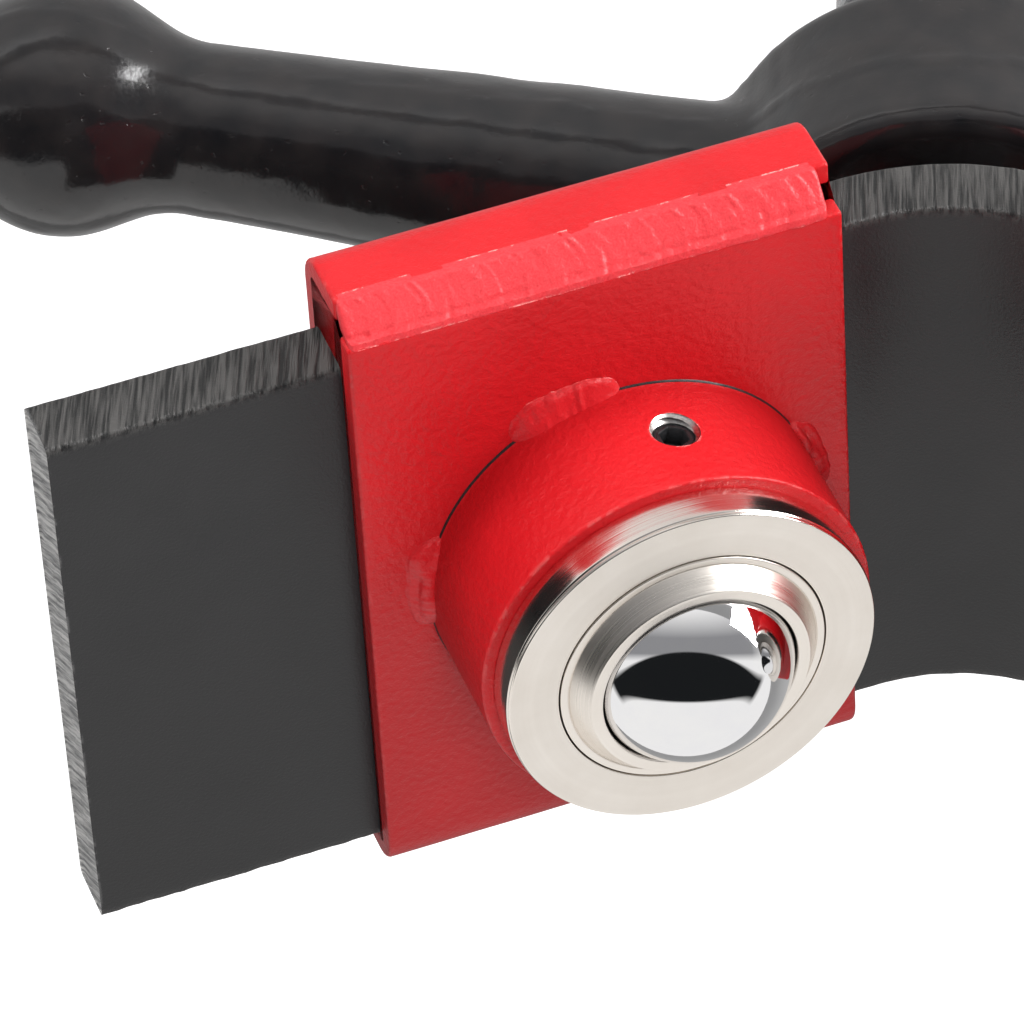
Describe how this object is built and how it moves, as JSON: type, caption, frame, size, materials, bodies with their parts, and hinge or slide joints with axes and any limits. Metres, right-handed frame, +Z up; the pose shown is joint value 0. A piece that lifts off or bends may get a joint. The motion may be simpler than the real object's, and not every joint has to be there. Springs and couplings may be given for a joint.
{
  "type": "pipe stand v head with ball transfer adapters",
  "caption": "V saddle head of a pipe stand: bent bar on a lifting screw with a handled nut, and slip-on sleeves that carry flanged ball transfer units.",
  "frame": {"origin": "centre of the lifting screw's lower end", "axes": "+Z up the screw, +X across the V, +Y along the carried pipe"},
  "size_m": [0.2506, 0.0948, 0.2876],
  "materials": {
    "black_paint": "satin black paint over cut flat bar",
    "black_casting": "gloss black paint over a rough casting",
    "zinc_plate": "bright zinc plate",
    "red_paint": "satin red powder coat",
    "nickel_plate": "satin nickel plate, turned",
    "polished_steel": "mirror polished bearing steel",
    "hard_steel": "ground hardened steel",
    "black_oxide": "black oxide steel",
    "felt": "oiled felt"
  },
  "bodies": {
    "head": {"v_bar": "black_paint", "acme_screw": "zinc_plate", "head_weld": "black_paint"},
    "nut_washer": {"thrust_washer": "zinc_plate"},
    "nut": {"handle_nut": "black_casting"},
    "left_adapter": {"left_sleeve": "red_paint", "left_seam_weld": "red_paint", "left_socket_tube": "red_paint", "left_socket_welds": "red_paint", "left_set_screw": "black_oxide", "left_ball_housing": "nickel_plate", "left_bearing_cup": "hard_steel", "left_cap_ring": "nickel_plate", "left_felt_seal": "felt"},
    "left_ball_race": {"left_support_balls": "polished_steel"},
    "left_ball": {"left_load_ball": "polished_steel"},
    "right_adapter": {"right_sleeve": "red_paint", "right_seam_weld": "red_paint", "right_socket_tube": "red_paint", "right_socket_welds": "red_paint", "right_set_screw": "black_oxide", "right_ball_housing": "nickel_plate", "right_bearing_cup": "hard_steel", "right_cap_ring": "nickel_plate", "right_felt_seal": "felt"},
    "right_ball_race": {"right_support_balls": "polished_steel"},
    "right_ball": {"right_load_ball": "polished_steel"}
  },
  "joints": [
    {"name": "nut_travel", "type": "slide", "parent": "head", "child": "nut_washer", "axis": [0, 0, -1], "range_m": [-0.011, 0.15]},
    {"name": "nut_turn", "type": "hinge", "parent": "nut_washer", "child": "nut", "pos_m": [0, 0, 0.1843], "axis": [0, 0, -1], "range_deg": [-779, 10629]},
    {"name": "left_adapter_slide", "type": "slide", "parent": "head", "child": "left_adapter", "axis": [-0.9252, 0, 0.3795], "range_m": [0, 0.06]},
    {"name": "left_race_spin", "type": "hinge", "parent": "left_adapter", "child": "left_ball_race", "pos_m": [-0.03076, 0.0017, 0.27493], "axis": [0.3795, 0, 0.9252], "continuous": true},
    {"name": "left_ball_roll", "type": "hinge", "parent": "left_ball_race", "child": "left_ball", "pos_m": [-0.03076, 0.0017, 0.27493], "axis": [0, 1, 0], "continuous": true},
    {"name": "right_adapter_slide", "type": "slide", "parent": "head", "child": "right_adapter", "axis": [0.9252, 0, 0.3795], "range_m": [0, 0.06]},
    {"name": "right_race_spin", "type": "hinge", "parent": "right_adapter", "child": "right_ball_race", "pos_m": [0.03076, -0.0017, 0.27493], "axis": [-0.3795, 0, 0.9252], "continuous": true},
    {"name": "right_ball_roll", "type": "hinge", "parent": "right_ball_race", "child": "right_ball", "pos_m": [0.03076, -0.0017, 0.27493], "axis": [0, 1, 0], "continuous": true}
  ],
  "couplings": [
    {"joint": "nut_travel", "follows": "nut_turn", "m_per_rad": 0.00080851}
  ]
}
